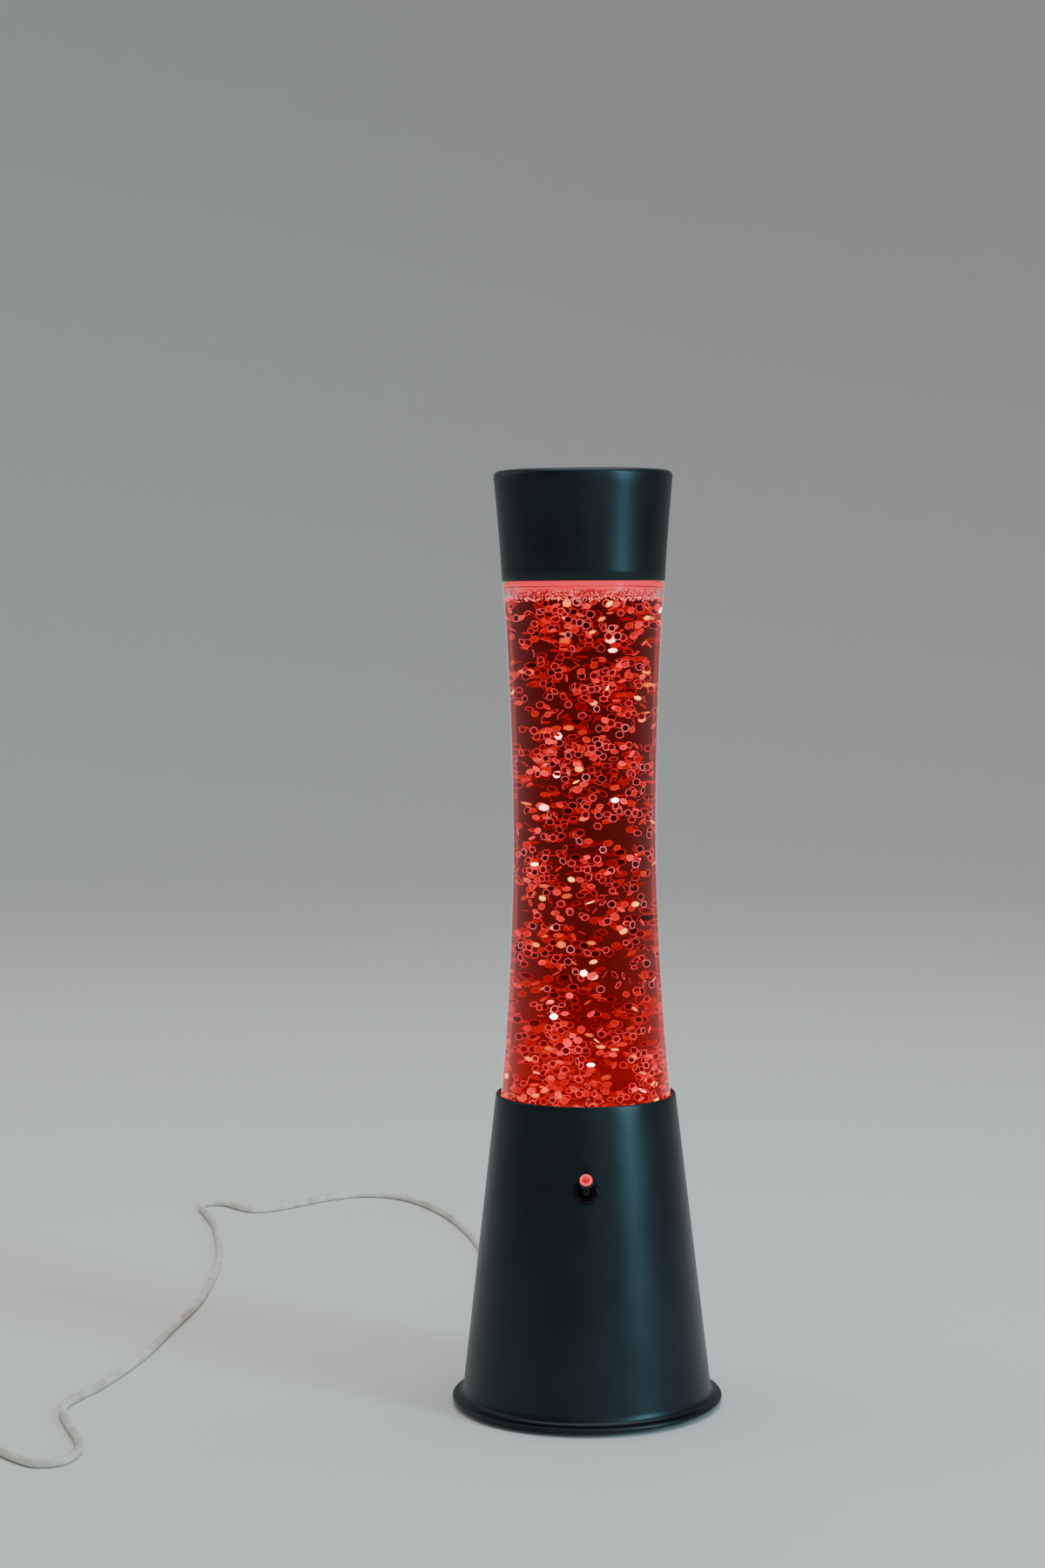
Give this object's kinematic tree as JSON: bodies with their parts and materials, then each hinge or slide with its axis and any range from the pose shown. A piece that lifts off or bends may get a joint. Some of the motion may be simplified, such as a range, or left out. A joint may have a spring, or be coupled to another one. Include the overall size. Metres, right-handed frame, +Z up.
{
  "type": "glitter lamp",
  "caption": "Table glitter lamp: a waisted bottle of red liquid on a lit tapered metal base with a toggle switch, a metal cap and a thin lead.",
  "frame": {"origin": "centre of the foot on the standing surface", "axes": "+Z up along the bottle's axis, -Y towards the switch at the front"},
  "size_m": [0.396, 0.5249, 0.4],
  "materials": {
    "anodised_aluminium": "dark anodised, satin, fine turned grain",
    "cover_abs": "moulded black ABS",
    "foot_rubber": "black rubber",
    "frame_abs": "moulded white ABS",
    "gasket_rubber": "soft black rubber",
    "board": "solder mask on laminate",
    "emitter": "warm white LED",
    "reflector": "white moulded",
    "diffuser": "frosted polycarbonate",
    "plated_steel": "bright plated",
    "moulded_nylon": "moulded natural nylon",
    "switch_black": "moulded black plastic",
    "switch_plated": "black plated brass",
    "lead_pvc": "PVC hook-up wire",
    "cord_pvc": "white flexible PVC",
    "bottle_glass": "clear blown glass",
    "red_liquid": "red liquid with hexagonal glitter",
    "stirrer_clear": "clear acrylic",
    "closure_pp": "moulded black polypropylene",
    "liner_foam": "foam liner",
    "glow_tip": "red translucent, lit"
  },
  "bodies": {
    "base": {"base_shell": "anodised_aluminium", "bottom_cover": "cover_abs", "foot_pad_1": "foot_rubber", "foot_pad_2": "foot_rubber", "foot_pad_3": "foot_rubber", "foot_pad_4": "foot_rubber", "inner_frame": "frame_abs", "seat_gasket": "gasket_rubber", "led_board": "board", "led_1": "emitter", "led_2": "emitter", "led_3": "emitter", "led_4": "emitter", "reflector_ring": "reflector", "diffuser_lens": "diffuser", "motor_bracket": "plated_steel", "motor_can": "plated_steel", "motor_end_cap": "moulded_nylon", "motor_screw_1": "plated_steel", "motor_screw_2": "plated_steel", "bracket_screw_1": "plated_steel", "bracket_screw_2": "plated_steel", "control_board": "board", "lead_connector": "switch_black", "board_screw_1": "plated_steel", "board_screw_2": "plated_steel", "cover_screw_1": "plated_steel", "cover_screw_2": "plated_steel", "cover_screw_3": "plated_steel", "switch_body": "switch_black", "switch_terminal_1": "plated_steel", "switch_terminal_2": "plated_steel", "switch_terminal_3": "plated_steel", "switch_bushing": "switch_plated", "switch_washer": "switch_plated", "switch_nut": "switch_plated", "motor_lead": "lead_pvc", "led_lead": "lead_pvc", "switch_lead": "lead_pvc", "inner_lead": "cord_pvc", "cord_grommet": "cord_pvc", "cord_run": "cord_pvc", "cord_coil": "cord_pvc", "cord_tie": "switch_black", "cord_tail": "cord_pvc", "usb_plug_grip": "cord_pvc", "usb_plug_shell": "plated_steel"},
    "rotor": {"motor_shaft": "plated_steel", "magnet_rotor": "moulded_nylon", "rotor_magnet_1": "plated_steel", "rotor_magnet_2": "plated_steel"},
    "toggle": {"toggle_lever": "switch_black", "toggle_tip": "glow_tip"},
    "bottle": {"bottle_glass": "bottle_glass", "red_liquid": "red_liquid", "bottle_closure": "closure_pp", "closure_liner": "liner_foam"},
    "stirrer": {"stirrer": "stirrer_clear"},
    "top_cap": {"top_cap": "anodised_aluminium", "cap_cushion": "gasket_rubber"}
  },
  "joints": [
    {"name": "bottle_lift", "type": "slide", "parent": "base", "child": "bottle", "axis": [0, 0, 1], "range_m": [0, 0.04]},
    {"name": "cap_lift", "type": "slide", "parent": "bottle", "child": "top_cap", "axis": [0, 0, 1], "range_m": [0, 0.06]},
    {"name": "toggle_flip", "type": "hinge", "parent": "base", "child": "toggle", "pos_m": [0, -0.0462, 0.10042], "axis": [1, 0, 0], "range_deg": [0, 56]},
    {"name": "rotor_spin", "type": "hinge", "parent": "base", "child": "rotor", "pos_m": [0, 0, 0.106], "axis": [0, 0, 1], "continuous": true},
    {"name": "stirrer_spin", "type": "hinge", "parent": "bottle", "child": "stirrer", "pos_m": [0, 0, 0.122], "axis": [0, 0, 1], "continuous": true}
  ],
  "couplings": [
    {"joint": "stirrer_spin", "follows": "rotor_spin", "ratio": 1}
  ]
}
